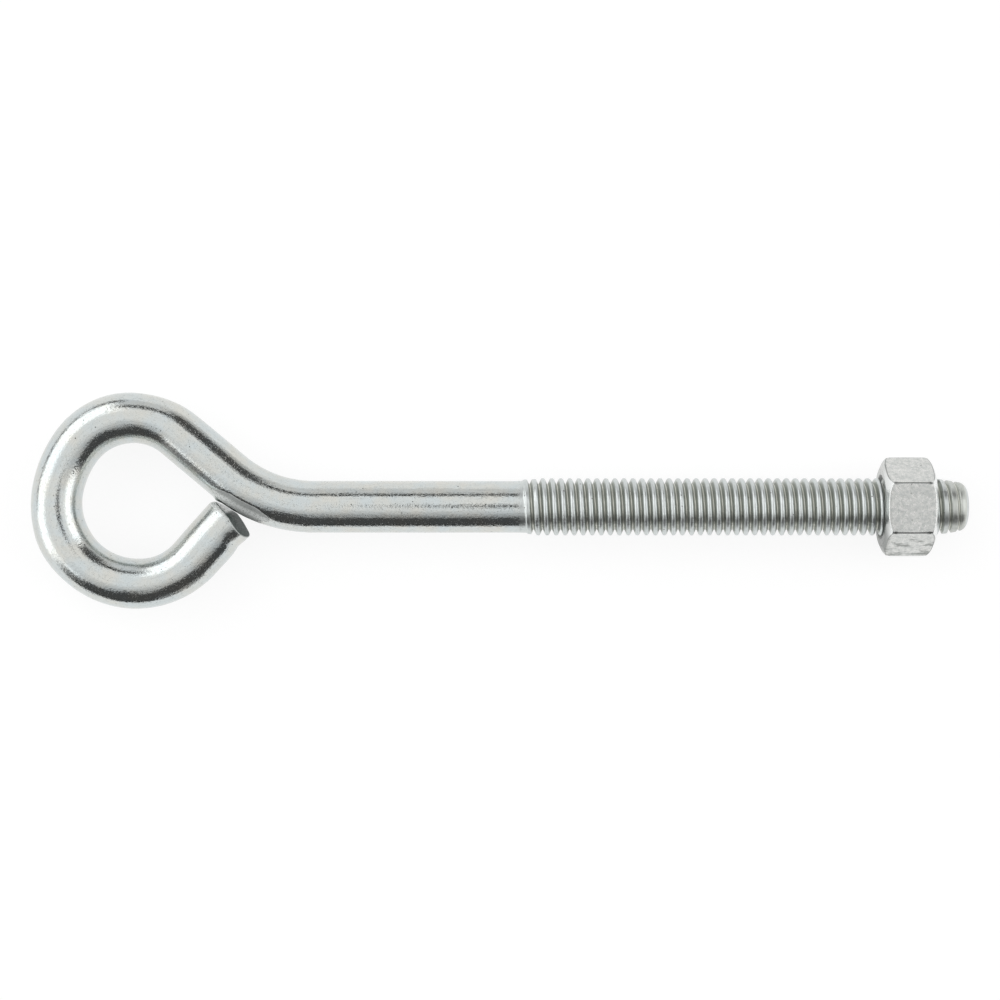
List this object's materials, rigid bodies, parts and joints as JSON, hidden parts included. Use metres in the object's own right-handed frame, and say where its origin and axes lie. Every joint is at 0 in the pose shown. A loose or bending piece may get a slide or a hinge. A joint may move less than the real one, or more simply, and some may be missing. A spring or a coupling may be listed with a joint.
{
  "type": "eye bolt",
  "caption": "Turned eye bolt: a steel rod bent round into an eye, with a plain shank, a long rolled thread and a hex nut that runs on it.",
  "frame": {"origin": "centre of the round of the eye, on the rod's centre plane", "axes": "+X along the shank towards the threaded point, +Z square to the plane of the eye, on the side from which the sheared end lies below the shank"},
  "size_m": [0.2027, 0.0472, 0.019],
  "materials": {
    "bright_zinc_rod": "bright zinc plating on cold-drawn steel rod",
    "satin_zinc_nut": "satin zinc plating on a cold-formed steel nut"
  },
  "bodies": {
    "bolt": {"eye_bolt": "bright_zinc_rod"},
    "nut": {"hex_nut": "satin_zinc_nut"}
  },
  "joints": [
    {"name": "nut_travel", "type": "slide", "parent": "bolt", "child": "nut", "axis": [1, 0, 0], "range_m": [-0.07229, 0.01954]}
  ]
}
